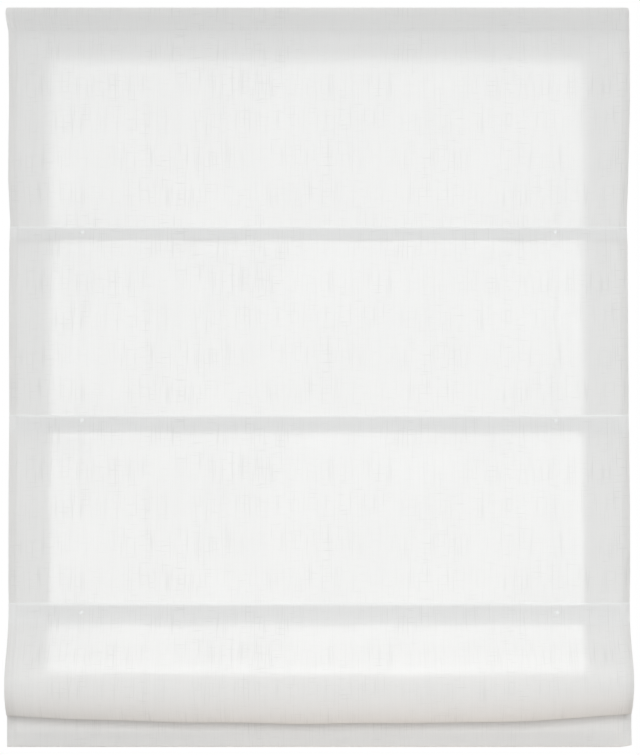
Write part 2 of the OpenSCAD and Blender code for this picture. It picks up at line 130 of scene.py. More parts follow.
# Points along each part of the section.
FACE_ROWS, UNDER_ROWS, RISE_ROWS, CREST_ROWS, SKIRT_ROWS, TURN_ROWS, HEM_ROWS = 70, 16, 22, 12, 18, 10, 6
# How the lower edge rises to the left and the right: height, power, and how the rise runs along the section.
FOLD_SAG = (13 * MM, 16 * MM)
SAG_POWER = (2.2, 3)
SAG_STOPS = (14, 19, 28)
SAG_SKEW = 1.6
SKIRT_OUT = (4.4 * MM, 5.0 * MM)
# The skirt's right corner, which curls up and forward below these depths under the crest.
CORNER_CURL = 7 * MM
CURL_FORWARD = 1.5
CURL_DEPTHS = (40 * MM, 84 * MM)

# Where the side edges stand out from the cut width, by height: height, left, right, all in mm.
EDGE_LINE = np.array([
    (20.5, -0.5, -4.5), (19.5, 1.4, -2.4), (17, 2.8, -1.0), (12, 3.2, -0.6), (3, 2.6, -0.8),
    (-18, -1.6, -0.4), (-130, -3.0, -0.4), (-257, -1.6, -2.8), (-325, -4.4, -4.8), (-360, -3.2, -3.8),
    (-450, -3.0, -3.6), (-640, -3.0, -1.6), (-760, -2.6, -0.4), (-900, -1.6, 0.4), (-1000, -2.4, -0.4),
    (-1180, -2.4, -1.4)]) * MM
EDGE_REACH = 28 * MM
# The right edge turns a little to the back over this strip, measured from the cut width.
EDGE_TURN = 2.4 * MM
EDGE_TURN_STRIP = (10 * MM, 1 * MM)
GROOVE_DEPTH = 0.35 * MM
GROOVE_WIDTH = 1.3 * MM
# Moves the weave of a turned hem, so that it isn't the mirror of the face.
HEM_WEAVE_SHIFT = 0.3

# The unevenness of the cloth: seed, length from crest to crest, height.
BROAD_WAVES = (3, 0.19, 0.55 * MM)
FINE_WAVES = (5, 0.06, 0.12 * MM)
LEFT_EDGE_WAVES = (8, 0.16, 0.7 * MM)
RIGHT_EDGE_WAVES = (9, 0.2, 0.7 * MM)
PUCKER_WAVES = (12, 0.011, 0.1 * MM)
GROOVE_WAVES = (14, 0.02, 0.1 * MM)
RIDGE_WAVES = (17, 0.03, 0.12 * MM)
FOLD_EDGE_WAVES = (21, 0.22, 1.1 * MM)
WAVE_COUNT = 7
WAVE_SUM = 2.6
FINE_SLOPE = 0.3
PUCKER_FROM = 0.02

# Points close to a seam and to a side edge, where the cloth's shape changes fast.
NEAR_SEAM = np.array([0, 0.4, 0.8, 1.2, 1.7, 2.3, 3, 4, 5.5, 8]) * MM
NEAR_EDGE = np.array([0, 0.6, 1.5, 3, 5, 8, 10.5, 11.5, 12.2, 12.7, 13.1, 13.6, 14.5, 17]) * MM

# Pockets and tapes.
POCKET_T = 0.5 * MM
POCKET_R = 3.45 * MM
POCKET_WEB = 0.45 * MM
POCKET_NECK = 2.4
# Points down the front web, round the batten, up the side and up the back web, and across.
POCKET_ROWS = (8, 25, 8, 4)
POCKET_COLUMNS = 195
POCKET_IN = (0.75 * MM, 0.4 * MM)
POCKET_SLACK = 0.9 * MM
POCKET_SLACK_MOST = 2 * MM
# Seed and length of the waves in that slack, and seed, length and height of the creases round the batten.
SLACK_SEED, SLACK_LONG = 30, 0.16
CREASE_SEED, CREASE_LONG, CREASE_HEIGHT = 40, 0.05, 0.06 * MM
RING_HOLD = 30 * MM
# The loose top edge of the fourth pocket: places across the cloth, and how far the edge stands up there.
LOOSE_AT = (-0.5, -0.3, 0.1, 0.3, 0.5)
LOOSE_EDGE = np.array([3.0, 2.5, 0.5, 2.5, 4.5]) * MM
TAPE_COLUMNS, TAPE_ROWS = 260, 16
TAPE_EDGE = 0.6 * MM
TAPE_PILE = 0.25 * MM
TAPE_WAVES = (0.004, 0.05 * MM)

# Cord rings, the thread that binds each to its pocket, and cords.
RING_OUTER_R = 6 * MM
RING_WIRE_R = 5 * MM
BIND_TURNS, BIND_POINTS, BIND_SIDES = 4, 15, 6
BIND_R = 0.26 * MM
BIND_PITCH = 0.62 * MM
BIND_SWAY = 0.2 * MM
BIND_IN = 0.75 * MM
BIND_DEPTH, BIND_HEIGHT = 2.0 * MM, 1.45 * MM
CORD_R = 0.7 * MM
CORD_PITCH = 2.1 * CORD_R
CORD_SIDES = 12
CORD_STEP = 4 * MM
WRAPS = 4
WRAP_STEPS = 40
STOP_COVER = 2 * MM

# The upper lifts: the body above, the joint and its travel.
LIFTS = (("rail", "top_batten_lift", 0.29), ("top_batten", "middle_batten_lift", 0.276),
         ("middle_batten", "lower_batten_lift", 0.27))


def box_centre(node):
    """The middle of a node's box."""
    low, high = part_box(node)
    return (low + high) / 2


cloth_low, cloth_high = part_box("blind_fabric")
half_w = cloth_high.x
top_edge = cloth_high.z
bottom_edge = cloth_low.z
panel_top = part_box("headrail")[0].z - RAIL_GAP
pockets = [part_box(f"batten_pocket_{i}") for i in (1, 2, 3, 4)]
seams = [high.z + rise for (low, high), rise in zip(pockets, SEAM_RISE)]
bands = [seam - low.z for (low, high), seam in zip(pockets, seams)]
battens = [box_centre(f"batten_{i}") for i in (1, 2, 3, 4)]
rings = [box_centre(f"cord_rings_{i}") for i in (1, 2, 3, 4)]
cord_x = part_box("cord_rings_1")[1].x - RING_OUTER_R
cord_y = rings[0].y
shaft = box_centre("drive_shaft")
wind_r = shaft.y - cord_y
skirt_y = CREST[0] + CREST_R
bar_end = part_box("bottom_bar_caps")[1].x


# Camera

def make_camera():
    """A level camera straight in front of the blind, with the photograph's frame."""
    data = bpy.data.cameras.new("camera")
    data.sensor_width = SENSOR_MM
    data.lens = data.sensor_width * CAMERA_AWAY / (PHOTO_H * MM_PER_PIXEL * MM)
    camera = bpy.data.objects.new("camera", data)
    camera.location = (CAMERA_X, FACE_Y - CAMERA_AWAY, CAMERA_Z)
    camera.rotation_euler = (math.radians(90), 0, 0)
    bpy.context.scene.collection.objects.link(camera)
    bpy.context.scene.camera = camera


make_camera()


# Materials

# Grains or bands in a metre: of cloth, across and along, then of thread, pile, metal and coating.
SLUB_PATCHES = (11, 7, 1)
WARP_SLUBS = (560, 17, 1)
WEFT_SLUBS = (38, 600, 1)
WARP_STREAKS = (330, 3.5, 1)
CLOTH_CLOUDS = (6, 5, 1)
WARP_THREADS, WEFT_THREADS = 640.0, 560.0
STRANDS = 420.0
PILE_HAIRS = (1400, 1400, 1400)
METAL_CLOUDS = (14, 60, 60)
COAT_CLOUDS = (45, 45, 45)


class Graph:
    """A material and short ways to add nodes to it."""

    def __init__(self, name):
        self.material = bpy.data.materials.new(name)
        self.material.use_nodes = True
        self.tree = self.material.node_tree
        self.tree.nodes.clear()

    def add(self, kind, inputs=None, **settings):
        node = self.tree.nodes.new("ShaderNode" + kind)
        for key, value in settings.items():
            setattr(node, key, value)
        for key, value in (inputs or {}).items():
            if isinstance(value, bpy.types.NodeSocket):
                self.tree.links.new(value, node.inputs[key])
            else:
                node.inputs[key].default_value = value
        return node.outputs[0] if node.outputs else None

    def place(self):
        """The point's own place on its piece."""
        return self.tree.nodes.new("ShaderNodeTexCoord").outputs["Object"]

    def stretched(self, where, scale, detail=2.0):
        """Noise whose grains are 1 / scale long in each direction."""
        at = self.add("Mapping", {"Vector": where, "Scale": scale})
        return self.add("TexNoise", {"Vector": at, "Scale": 1.0, "Detail": detail})

    def ripples(self, where, scale, direction, distortion, **more):
        """Even bands across one direction, such as threads side by side."""
        return self.add("TexWave", {"Vector": where, "Scale": scale, "Distortion": distortion, **more},
                        bands_direction=direction)

    def between(self, value, low, high, out_low=0.0, out_high=1.0):
        return self.add("MapRange", {"Value": value, "From Min": low, "From Max": high,
                                     "To Min": out_low, "To Max": out_high})

    def math(self, operation, a, b):
        return self.add("Math", {0: a, 1: b}, operation=operation)

    def mix(self, factor, a, b):
        node = self.tree.nodes.new("ShaderNodeMix")
        node.data_type = "RGBA"
        share, low, high = node.inputs[0], node.inputs[6], node.inputs[7]
        self.tree.links.new(factor, share)
        low.default_value, high.default_value = (*a, 1), (*b, 1)
        return node.outputs[2]

    def bump(self, height, strength, distance):
        return self.add("Bump", {"Height": height, "Strength": strength, "Distance": distance})

    def close(self, shader):
        self.add("OutputMaterial", {"Surface": shader})
        return self.material


def woven(name, light, dark, through, let_through, slubs=1.0):
    """Plain weave with slubs: here and there a thread is thicker, looks darker and lets less light
    through."""
    g = Graph(name)
    flat = g.add("UVMap", uv_map="weave")
    fields = g.between(g.stretched(flat, SLUB_PATCHES), 0.36, 0.62)
    warp = g.between(g.stretched(flat, WARP_SLUBS, 1.0), 0.54, 0.74)
    weft = g.between(g.stretched(flat, WEFT_SLUBS, 1.0), 0.59, 0.76)
    streaks = g.between(g.stretched(flat, WARP_STREAKS), 0.3, 0.7)
    clouds = g.between(g.stretched(flat, CLOTH_CLOUDS), 0.3, 0.7)
    knots = g.math("MULTIPLY", g.math("MAXIMUM", warp, weft), g.between(fields, 0, 1, 0.3, 1.0))
    even = g.math("ADD", g.math("MULTIPLY", streaks, 0.16), g.math("MULTIPLY", clouds, 0.1))
    thick = g.math("MULTIPLY", g.math("ADD", even, g.math("MULTIPLY", knots, 0.64)), slubs)
    across = g.ripples(flat, WARP_THREADS, "X", 3.0, Detail=2.0)
    along = g.ripples(flat, WEFT_THREADS, "Y", 3.0, Detail=2.0)
    weave = g.math("MAXIMUM", across, along)
    normal = g.bump(g.math("ADD", g.math("MULTIPLY", weave, 0.3), thick), 0.22, 0.35 * MM)
    colour = g.mix(thick, light, dark)
    cloth = g.add("BsdfPrincipled", {"Base Color": colour, "Roughness": 0.88, "Specular IOR Level": 0.22,
                                     "Sheen Weight": 0.12, "Sheen Roughness": 0.45, "Normal": normal})
    lit = g.add("BsdfTranslucent", {"Color": (*through, 1), "Normal": normal})
    share = g.between(thick, 0.0, 1.0, let_through, let_through * 0.55)
    return g.close(g.add("MixShader", {0: share, 1: cloth, 2: lit}))


def spun(name, light, dark, twist):
    """Thread or braided cord, with its strands running round it on the slant."""
    g = Graph(name)
    flat = g.add("UVMap", uv_map="weave")
    left = g.add("Mapping", {"Vector": flat, "Rotation": (0, 0, twist)})
    right = g.add("Mapping", {"Vector": flat, "Rotation": (0, 0, -twist)})
    strands = g.math("MAXIMUM", g.ripples(left, STRANDS, "X", 0.6), g.ripples(right, STRANDS, "X", 0.6))
    normal = g.bump(strands, 0.5, 0.15 * MM)
    colour = g.mix(strands, dark, light)
    return g.close(g.add("BsdfPrincipled", {"Base Color": colour, "Roughness": 0.7, "Normal": normal,
                                            "Sheen Weight": 0.15}))


def pile(name, light, dark):
    """The short loops or hooks of a fastening tape."""
    g = Graph(name)
    hairs = g.stretched(g.place(), PILE_HAIRS, 3.0)
    normal = g.bump(hairs, 0.8, 0.5 * MM)
    colour = g.mix(g.between(hairs, 0.35, 0.65), dark, light)
    return g.close(g.add("BsdfPrincipled", {"Base Color": colour, "Roughness": 0.95, "Normal": normal,
                                            "Sheen Weight": 0.3}))


def drawn(name, light, dark, roughness, metallic=1.0, lines=(3, 1500, 1500)):
    """Metal or glass fibre with the fine lines that drawing leaves, along the rail unless lines differs."""
    g = Graph(name)
    at = g.place()
    grain = g.stretched(at, lines, 3.0)
    clouds = g.stretched(at, METAL_CLOUDS)
    colour = g.mix(g.between(clouds, 0.35, 0.65), dark, light)
    rough = g.between(grain, 0.3, 0.7, roughness - 0.08, roughness + 0.1)
    normal = g.bump(grain, 0.12, 0.1 * MM)
    return g.close(g.add("BsdfPrincipled", {"Base Color": colour, "Metallic": metallic, "Roughness": rough,
                                            "Normal": normal}))


def coated(name, light, dark, roughness, grain_scale, grain_depth):
    """Moulded plastic or powder coat: an even colour with a fine grain and a few cloudy patches."""
    g = Graph(name)
    at = g.place()
    grain = g.stretched(at, (grain_scale,) * 3)
    clouds = g.stretched(at, COAT_CLOUDS, 3.0)
    colour = g.mix(g.between(clouds, 0.3, 0.7), dark, light)
    rough = g.between(clouds, 0.3, 0.7, roughness - 0.05, roughness + 0.06)
    normal = g.bump(grain, 0.25, grain_depth)
    return g.close(g.add("BsdfPrincipled", {"Base Color": colour, "Roughness": rough, "Normal": normal}))


# The light and dark colour of the cloth, and what it lets through.
CLOTH_COLOURS = ((0.95, 0.952, 0.948), (0.77, 0.767, 0.757), (0.975, 0.955, 0.935))
CLOTH = woven("slub_cloth", *CLOTH_COLOURS, 0.5)
# Over each pocket the same cloth lets less light through, so it looks lighter from the front: painted light
# that stands in for the light the pocket behind reflects back.
BACKED_PAINTED_LIGHT = woven("backed_cloth_painted_light", *CLOTH_COLOURS, 0.41)
POCKET = woven("pocket_cloth", (0.975, 0.974, 0.968), (0.93, 0.926, 0.917), (0.975, 0.965, 0.955), 0.3, 0.6)
THREAD = spun("sewing_thread", (0.96, 0.96, 0.955), (0.89, 0.89, 0.88), 0.5)
TACK = spun("tack_thread", (0.92, 0.92, 0.915), (0.86, 0.86, 0.85), 0.5)
CORD = spun("braided_cord", (0.95, 0.95, 0.945), (0.8, 0.8, 0.79), 0.7)
PILE = pile("fastening_pile", (0.6, 0.6, 0.59), (0.42, 0.42, 0.41))
FINISHES = {
    "rail_alloy": drawn("anodised_rail", (0.84, 0.84, 0.85), (0.76, 0.76, 0.77), 0.38),
    "bracket_steel": coated("powder_coat", (0.9, 0.9, 0.895), (0.87, 0.87, 0.865), 0.48, 900, 0.12 * MM),
    "shaft_steel": drawn("zinc_plate", (0.66, 0.66, 0.67), (0.54, 0.55, 0.58), 0.32),
    "spring_steel": drawn("spring_steel", (0.38, 0.39, 0.42), (0.26, 0.27, 0.3), 0.3, lines=(900, 40, 40)),
    "white_plastic": coated("white_moulding", (0.9, 0.9, 0.89), (0.87, 0.87, 0.86), 0.42, 1300, 0.06 * MM),
    "spool_plastic": coated("natural_moulding", (0.93, 0.92, 0.88), (0.89, 0.88, 0.83), 0.36, 1300,
                            0.05 * MM),
    "grey_plastic": coated("grey_moulding", (0.7, 0.7, 0.71), (0.64, 0.64, 0.66), 0.5, 1100, 0.08 * MM),
    "ring_plastic": coated("gloss_moulding", (0.93, 0.93, 0.93), (0.9, 0.9, 0.9), 0.2, 1600, 0.03 * MM),
    "batten_rod": drawn("glass_fibre", (0.9, 0.9, 0.86), (0.82, 0.82, 0.77), 0.4, 0.0, (5, 2200, 2200)),
    "tape": PILE,
}

# Places of the materials on a piece of cloth; the last is the lighter copy of the cloth over the pockets,
# painted light for what the pockets reflect back.
ON_FACE, ON_THREAD, ON_TACK, ON_BACKED_PAINTED_LIGHT = range(4)


# Meshes

RIM_ANGLES = (45, 90, 135)
END_SHARE = 0.06
THREAD_TIP = 0.35
STITCH, STITCH_GAP, STITCH_R, STITCH_SIDES = 2.4 * MM, 0.9 * MM, 0.22 * MM, 5
# A stitch comes out of the cloth, runs along it and goes in again: places along it, and heights in radii.
STITCH_PLACES = (0, 0.2, 0.8, 1)
STITCH_HEIGHTS = (-0.6, 0.35, 0.35, -0.6)


class Shell:
    """Points, faces and flat cloth coordinates of one piece, gathered from several parts."""

    def __init__(self):
        self.points, self.faces, self.flat = [], [], []
        self.material, self.smooth = [], []
        self.count = 0

    def add_faces(self, faces, first, material=ON_FACE, smooth=True):
        self.faces += [tuple(int(i) + first for i in face) for face in faces]
        self.material += np.broadcast_to(material, len(faces)).tolist()
        self.smooth += [smooth] * len(faces)

    def add(self, points, faces, flat, material=ON_FACE):
        self.points.append(np.asarray(points, float).reshape(-1, 3))
        self.flat.append(np.asarray(flat, float).reshape(-1, 2))
        self.add_faces(faces, self.count, material)
        self.count += len(self.points[-1])

    def make(self, name, *materials):
        mesh = bpy.data.meshes.new(name)
        mesh.from_pydata(np.concatenate(self.points).tolist(), [], self.faces)
        mesh.polygons.foreach_set("material_index", self.material)
        mesh.polygons.foreach_set("use_smooth", self.smooth)
        corners = np.zeros(len(mesh.loops), np.int32)
        mesh.loops.foreach_get("vertex_index", corners)
        weave = mesh.uv_layers.new(name="weave")
        weave.data.foreach_set("uv", np.concatenate(self.flat)[corners].astype(np.float32).ravel())
        for material in materials:
            mesh.materials.append(material)
        mesh.validate()
        piece = bpy.data.objects.new(name, mesh)
        bpy.context.scene.collection.objects.link(piece)
        return piece


def unit(v):
    return v / np.maximum(np.linalg.norm(v, axis=-1, keepdims=True), 1e-12)


def smooth_step(value, low, high):
    t = np.clip((value - low) / (high - low), 0, 1)
    return t * t * (3 - 2 * t)


def lengths_along(line):
    """How far along a line of points each of them lies."""
    return np.concatenate([[0], np.cumsum(np.linalg.norm(np.diff(line, axis=0), axis=1))])


def nearest(values, wanted):
    """The index of the value nearest to the wanted one."""
    return int(np.argmin(np.abs(values - wanted)))


def close_ends(grid):
    """The same rows with one more row just inside each end."""
    first = grid[:1] * (1 - END_SHARE) + grid[1:2] * END_SHARE
    last = grid[-1:] * (1 - END_SHARE) + grid[-2:-1] * END_SHARE
    return np.concatenate([grid[:1], first, grid[1:-1], last, grid[-1:]])


def add_sheet(shell, centre, flat, thickness, backed=0):
    """A closed sheet of cloth round a grid of points, rows down and columns to the right, with round side
    edges. A row of points very near each end keeps the end's own shading off the face of the cloth. The first
    rows, as many as backed says, have a pocket behind them and take the lighter copy of the cloth, painted
    light for the light the pocket reflects back through them. Gives the face's points and directions."""
    given = np.r_[0, 2:len(centre), len(centre) + 1]
    centre, flat = close_ends(centre), close_ends(flat)
    rows, columns = centre.shape[:2]
    down, right = np.gradient(centre, axis=0), np.gradient(centre, axis=1)
    out = unit(np.cross(down, right))
    front, back = centre + out * thickness / 2, centre - out * thickness / 2

    def rim(side):
        edge = unit(right[:, side]) * (1 if side else -1)
        middle, reach = (front[:, side] + back[:, side]) / 2, (front[:, side] - back[:, side]) / 2
        radius = np.linalg.norm(reach, axis=1, keepdims=True)
        return [middle + reach * math.cos(a) + edge * radius * math.sin(a) for a in np.radians(RIM_ANGLES)]

    right_rim, left_rim = np.stack(rim(-1), 1), np.stack(rim(0)[::-1], 1)
    ring = np.concatenate([front, right_rim, back[:, ::-1], left_rim], axis=1)
    right_flat, left_flat = (np.repeat(edge, len(RIM_ANGLES), 1) for edge in (flat[:, -1:], flat[:, :1]))
    places = np.concatenate([flat, right_flat, flat[:, ::-1], left_flat], axis=1)
    size = ring.shape[1]
    k, r = np.meshgrid(np.arange(rows - 1), np.arange(size), indexing="ij")
    s = (r + 1) % size
    quads = np.stack([k * size + r, (k + 1) * size + r, (k + 1) * size + s, k * size + s], -1)
    first = shell.count
    # Rows over a pocket take the lighter copy of the cloth: painted light for what the pocket reflects back.
    shell.add(ring, quads.reshape(-1, 4), places, np.where(k.ravel() < backed, ON_BACKED_PAINTED_LIGHT, ON_FACE))
    last_back = columns + len(RIM_ANGLES)
    first_back = last_back + columns - 1
    strips = [(i, i + 1, first_back - 1 - i, first_back - i) for i in range(columns - 1)]
    strips += [tuple(range(columns - 1, last_back + 1)), (*range(first_back, size), 0)]
    for row, turn in ((0, 1), (rows - 1, -1)):
        shell.add_faces([strip[::turn] for strip in strips], first + row * size, smooth=False)
    return front[given], out[given]


def add_tube(shell, line, radius, sides, material=ON_FACE, tapered=False):
    """A round tube along a line of points, closed at both ends."""
    line = np.asarray(line, float)
    along = unit(np.gradient(line, axis=0))
    start = np.array([1.0, 0, 0]) if abs(along[0][0]) < 0.9 else np.array([0, 1.0, 0])
    across = [unit(np.cross(along[0], start))]
    for step in along[1:]:
        across.append(unit(across[-1] - step * np.dot(across[-1], step)))
    across = np.array(across)
    other = np.cross(along, across)
    angle = np.linspace(0, 2 * math.pi, sides, endpoint=False)
    size = np.full(len(line), radius)
    if tapered:
        size[[0, -1]] *= THREAD_TIP
    round_it = across[:, None] * np.cos(angle)[:, None] + other[:, None] * np.sin(angle)[:, None]
    points = line[:, None] + round_it * size[:, None, None]
    flat = np.stack(np.broadcast_arrays(angle * radius, lengths_along(line)[:, None]), -1)
    k, r = np.meshgrid(np.arange(len(line) - 1), np.arange(sides), indexing="ij")
    s = (r + 1) % sides
    quads = np.stack([k * sides + r, k * sides + s, (k + 1) * sides + s, (k + 1) * sides + r], -1)
    last = (len(line) - 1) * sides
    ends = [tuple(range(sides))[::-1], tuple(range(last, last + sides))]
    shell.add(points, [tuple(q) for q in quads.reshape(-1, 4)] + ends, flat, material)


def add_stitches(shell, line, out):
    """A run of sewn stitches along a line of surface points, half sunk in the cloth."""
    steps = lengths_along(line)
    starts = np.arange(STITCH_GAP, steps[-1] - STITCH, STITCH + STITCH_GAP)
    places = np.stack([starts + STITCH * place for place in STITCH_PLACES], 1)
    at = np.stack([np.interp(places, steps, line[:, axis]) for axis in range(3)], -1)
    lift = np.stack([np.interp(places, steps, out[:, axis]) for axis in range(3)], -1)
    heights = np.array(STITCH_HEIGHTS)[None, :, None] * STITCH_R
    for stitch in at + lift * heights:
        add_tube(shell, stitch, STITCH_R, STITCH_SIDES, ON_THREAD, True)


# Cloth

def bezier(a, b, c, d, n):
    """A cubic curve in n steps."""
    t = np.linspace(0, 1, n + 1)[:, None]
    return (1 - t) ** 3 * a + 3 * (1 - t) ** 2 * t * b + 3 * (1 - t) * t ** 2 * c + t ** 3 * d


def arc(centre, radius, start, sweep, n):
    """Part of a circle in n steps, with start and sweep in degrees."""
    angle = np.radians(np.linspace(start, start + sweep, n + 1))
    return centre + radius * np.stack([np.cos(angle), np.sin(angle)], 1)


def upright(y, heights):
    """A straight part of a section, at one depth."""
    return np.stack([np.full(len(heights), y), heights], 1)


def spaced(length, step, ends):
    """Places from 0 to length, close together near both ends."""
    count = max(2, round((length - 2 * ends[-1]) / step) + 1)
    middle = np.linspace(ends[-1], length - ends[-1], count)
    return np.concatenate([ends[:-1], middle, length - ends[-2::-1]])


columns_x = spaced(2 * half_w, COLUMN_STEP, NEAR_EDGE) - half_w


def waves(x, s, seed, long, amplitude):
    """Soft uneven waves over the cloth, about long from crest to crest."""
    chance = np.random.default_rng(seed)
    total = np.zeros(np.broadcast(x, s).shape)
    for _ in range(WAVE_COUNT):
        angle, size = chance.uniform(-0.5, 0.5), long * chance.uniform(0.7, 1.8)
        phase = chance.uniform(0, 2 * math.pi)
        total = total + np.sin(2 * math.pi * (x * math.cos(angle) + s * math.sin(angle)) / size + phase)
    return amplitude * total / WAVE_SUM


def widened(x, z):
    """Moves the outer parts of the cloth so that its side edges follow EDGE_LINE."""
    heights = EDGE_LINE[::-1, 0]
    left, right = (np.interp(z, heights, EDGE_LINE[::-1, side]) for side in (1, 2))
    return x - left * np.clip(-x / half_w, 0, 1) ** 2 + right * np.clip(x / half_w, 0, 1) ** 2


def hang(path, free):
    """The cloth's middle surface along a section path, with the small unevenness of hung cloth, and its flat
    coordinates. For each row, free is 0 where it is sewn to something straight and 1 where it hangs free."""
    steps = lengths_along(path)
    x, s, free = columns_x[None, :], steps[:, None], free[:, None]
    z = np.broadcast_to(path[:, 1:2], (len(path), len(columns_x)))
    inside = half_w - np.abs(x)
    at_edge = np.where(x < 0, waves(z, 0 * x, *LEFT_EDGE_WAVES), waves(z, 0 * x, *RIGHT_EDGE_WAVES))
    uneven = waves(x, z, *BROAD_WAVES) + waves(x, z * FINE_SLOPE, *FINE_WAVES)
    uneven = uneven + np.exp(-inside / EDGE_REACH) * at_edge
    pucker = waves(x, s, *PUCKER_WAVES) * (1 - free) * smooth_step(free, 0, PUCKER_FROM)
    groove = np.exp(-((inside - HEM_STITCH) / GROOVE_WIDTH) ** 2)
    groove = groove * (GROOVE_DEPTH + waves(z, 0 * x, *GROOVE_WAVES))
    turned = EDGE_TURN * smooth_step(x, half_w - EDGE_TURN_STRIP[0], half_w + EDGE_TURN_STRIP[1])
    y = path[:, :1] + uneven * free + pucker + groove + turned
    centre = np.stack(np.broadcast_arrays(widened(x, z), y, z), -1)
    return centre, np.stack(np.broadcast_arrays(x, s), -1)


def turn_side_hems(shell, centre, flat, out):
    """The strip of cloth turned to the back along each side, and the stitches that hold it."""
    inside = half_w - np.abs(columns_x)
    for side in (-1, 1):
        strip = np.flatnonzero((inside <= SIDE_HEM) & (columns_x * side > 0))
        behind = centre[:, strip] - out[:, strip] * (CLOTH_T / 2 + SIDE_HEM_T / 2 + LAYER_GAP)
        place = flat[:, strip].copy()
        place[..., 0] = 2 * side * half_w - place[..., 0] + side * HEM_WEAVE_SHIFT
        add_sheet(shell, behind, place, SIDE_HEM_T)
        column = nearest(columns_x, side * (half_w - HEM_STITCH))
        normal = out[:, column]
        add_stitches(shell, centre[:, column] + normal * CLOTH_T / 2, normal)
        add_stitches(shell, centre[:, column] - normal * (CLOTH_T / 2 + SIDE_HEM_T + LAYER_GAP), -normal)


def sew_tacks(shell, front, seam, drop):
    """The bright satin tack that holds each cord ring, on the face of the cloth."""
    arch = (1 - np.linspace(-1, 1, TACK_POINTS)[:, None] ** 2) * TACK_ARCH
    for side in (-1, 1):
        line = front[:, nearest(columns_x, side * cord_x)]
        row = nearest(line[:, 2], seam - drop)
        for i, wide in enumerate(TACK_REACH):
            middle = line[row] + np.array([0, 0, (i - (len(TACK_REACH) - 1) / 2) * TACK_PITCH])
            reach = np.linspace(-wide, wide, TACK_POINTS)[:, None]
            thread = middle + reach * np.array([[1.0, 0, TACK_SLANT]]) + arch * np.array([[0, -1.0, 0]])
            add_tube(shell, thread, TACK_R, TACK_SIDES, ON_TACK, True)


def sew_seam(shell, front, out, drops):
    """A tight ridge of folded cloth along the seam, and the stitches under it. drops is how far each of the
    first rows lies under the seam."""
    rough = waves(columns_x, 0 * columns_x, *RIDGE_WAVES)[:, None]
    add_tube(shell, front[0] + out[0] * (RIDGE_LIFT + rough), RIDGE_R, RIDGE_SIDES, ON_THREAD)
    row = nearest(drops, STITCH_DROP)
    add_stitches(shell, front[row], out[row])


def make_header():
    """The top of the cloth, turned over and sewn to the loop tape."""
    turn_r = (HEM_Y - FACE_Y) / 2
    crown = np.array([(HEM_Y + FACE_Y) / 2, top_edge - CLOTH_T / 2 - turn_r])
    straight_top = crown[1] - HEADER_TURN_GAP
    hem_rows, turn_rows, face_rows = HEADER_ROWS
    up = upright(HEM_Y, np.linspace(top_edge - HEADER_HEM, straight_top, hem_rows))
    down = upright(FACE_Y, np.linspace(straight_top, panel_top, face_rows))
    path = np.concatenate([up, arc(crown, turn_r, 0, 180, turn_rows), down])
    centre, flat = hang(path, np.zeros(len(path)))
    shell = Shell()
    front, out = add_sheet(shell, centre, flat, CLOTH_T)
    for height in HEADER_STITCHES:
        row = len(path) - len(down) + nearest(down[:, 1], height)
        add_stitches(shell, front[row], out[row])
    piece = shell.make("cloth_header", CLOTH, THREAD)
    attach(piece, "rail")
    return piece


def ledge(drop, end):
    """How far the cloth steps forward under the seam it hangs from. The step fades away towards end."""
    return LEDGE * smooth_step(drop, 0, LEDGE_STEP) * (1 - smooth_step(drop, 0, end))


def make_panel(name, top, low, tack, band=0):
    """One flat panel of cloth between two seams, bellied forward. Where it hangs from a seam above, tack is
    how far the tacks lie under that seam, and band is the height of the pocket behind its top."""
    length = top - low
    places = spaced(length, ROW_STEP, NEAR_SEAM)
    belly = BELLY * np.sin(math.pi * (places / length))
    if tack:
        y = FACE_Y - belly - ledge(places, PANEL_LEDGE_END)
    else:
        y = FACE_Y - belly * smooth_step(places, 0, TOP_EASE)
    path = np.stack([y, top - places], 1)
    centre, flat = hang(path, smooth_step(np.minimum(places, length - places), 0, PANEL_EASE))
    shell = Shell()
    front, out = add_sheet(shell, centre, flat, CLOTH_T, int(np.sum(places < band)))
    turn_side_hems(shell, centre, flat, out)
    if tack:
        sew_tacks(shell, front, top, tack)
        sew_seam(shell, front, out, places)
    piece = shell.make(name, CLOTH, THREAD, TACK, BACKED_PAINTED_LIGHT)
    return piece


